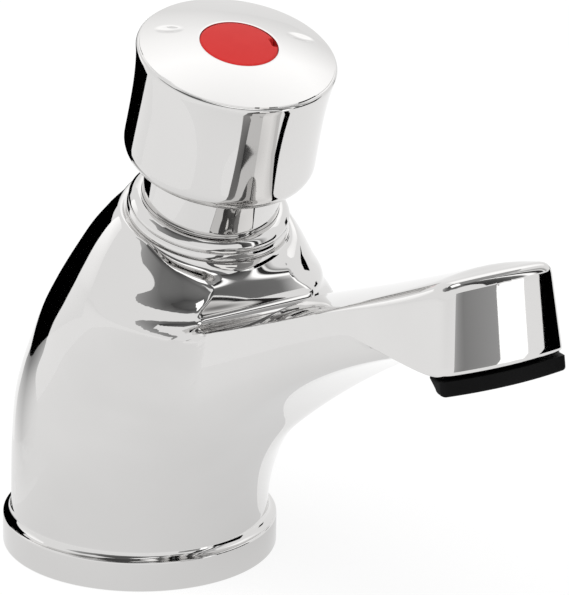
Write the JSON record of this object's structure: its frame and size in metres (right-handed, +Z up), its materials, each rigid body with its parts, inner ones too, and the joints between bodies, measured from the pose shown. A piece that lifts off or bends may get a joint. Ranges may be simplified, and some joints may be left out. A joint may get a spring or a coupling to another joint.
{
  "type": "push timed tap",
  "caption": "Chrome basin tap with a leaning push button over a timing cartridge, a rising flat-sided spout with a drip lip, and a threaded tail with a back nut.",
  "frame": {"origin": "centre of the base ring's underside, on the deck plane and on the tail's axis", "axes": "+Z up along the tail's axis, +X forward along the spout, +Y to the left of someone behind the tap who looks along the spout"},
  "size_m": [0.1402, 0.05, 0.1573],
  "materials": {
    "chrome_plate": "bright chrome plate on cast brass",
    "brass": "turned, unplated",
    "rubber_black": "moulded nitrile",
    "plastic_black": "moulded",
    "plastic_red": "moulded",
    "plastic_grey": "moulded",
    "acetal_white": "turned or moulded acetal",
    "stainless": "bright stainless steel"
  },
  "bodies": {
    "tap_body": {"body": "chrome_plate", "base_ring": "chrome_plate", "deck_gasket": "rubber_black", "inlet_tail": "brass", "tail_o_ring": "rubber_black", "inlet_strainer": "plastic_grey", "flow_regulator": "acetal_white", "clamp_washer": "acetal_white", "back_nut": "brass", "valve_seat": "brass", "seat_o_ring": "rubber_black", "cartridge_housing": "brass", "cartridge_o_ring": "rubber_black", "neck_sleeve": "chrome_plate", "neck_o_ring": "rubber_black", "collar": "chrome_plate", "guide_bush": "acetal_white", "spindle_seal": "rubber_black", "bush_circlip": "stainless", "outlet_insert": "plastic_black", "flow_straightener": "plastic_grey", "outlet_seal": "rubber_black", "return_spring": "stainless"},
    "push_head": {"push_cap": "chrome_plate", "indicator_disc": "plastic_red", "cap_screw": "stainless", "spindle": "brass", "spindle_clip": "stainless", "piston": "acetal_white", "piston_lip_seal": "rubber_black", "bleed_screw": "brass", "valve_washer": "rubber_black", "valve_washer_nut": "brass"}
  },
  "joints": [
    {"name": "cap_press", "type": "slide", "parent": "tap_body", "child": "push_head", "axis": [-0.2756, 0, -0.9613], "range_m": [0, 0.006], "stiffness_N_per_m": 600, "springref_m": -0.012, "deforming": ["return_spring"]}
  ]
}
